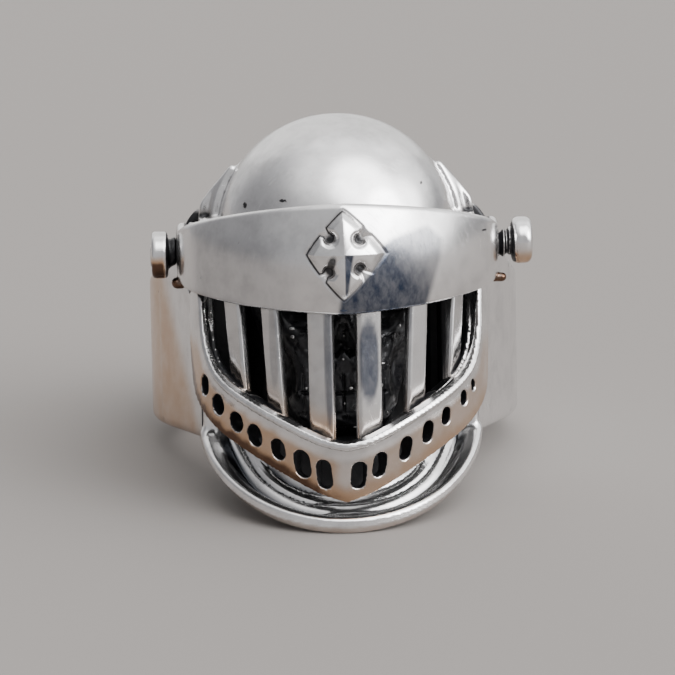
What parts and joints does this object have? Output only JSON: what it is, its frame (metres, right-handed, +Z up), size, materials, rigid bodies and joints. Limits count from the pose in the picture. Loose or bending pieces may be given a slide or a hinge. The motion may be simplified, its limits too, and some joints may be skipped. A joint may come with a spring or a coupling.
{
  "type": "skull ring",
  "caption": "Heavy cast finger ring shaped as a knight's helmet, with a hinged brow and barred face grille in front of a plain skull face.",
  "frame": {"origin": "on the floor below the middle of the box", "axes": "+Z up, -Y towards the front of the helmet, +X along the rivets to the right of the picture; the finger bore leans back by the angle at which the ring rests on its collar and band"},
  "size_m": [0.0247, 0.0352, 0.024],
  "materials": {
    "polished_silver": "hand polished silver with fine scratches, blackened in the recesses",
    "worn_silver": "polished silver bars and rim, tarnished in the slots",
    "blackened_silver": "oxidised, dark and matt with worn highlights"
  },
  "bodies": {
    "root": {"ring_body": "polished_silver", "skull": "blackened_silver", "pin_left": "polished_silver", "pin_right": "polished_silver"},
    "grille": {"grille": "worn_silver"},
    "brow": {"brow": "polished_silver"}
  },
  "joints": [
    {"name": "grille_hinge", "type": "hinge", "parent": "root", "child": "grille", "pos_m": [0, -0.00475, 0.01541], "axis": [-1, 0, 0], "range_deg": [0, 60]},
    {"name": "brow_hinge", "type": "hinge", "parent": "grille", "child": "brow", "pos_m": [0, -0.00475, 0.01541], "axis": [-1, 0, 0], "range_deg": [0, 30]}
  ]
}
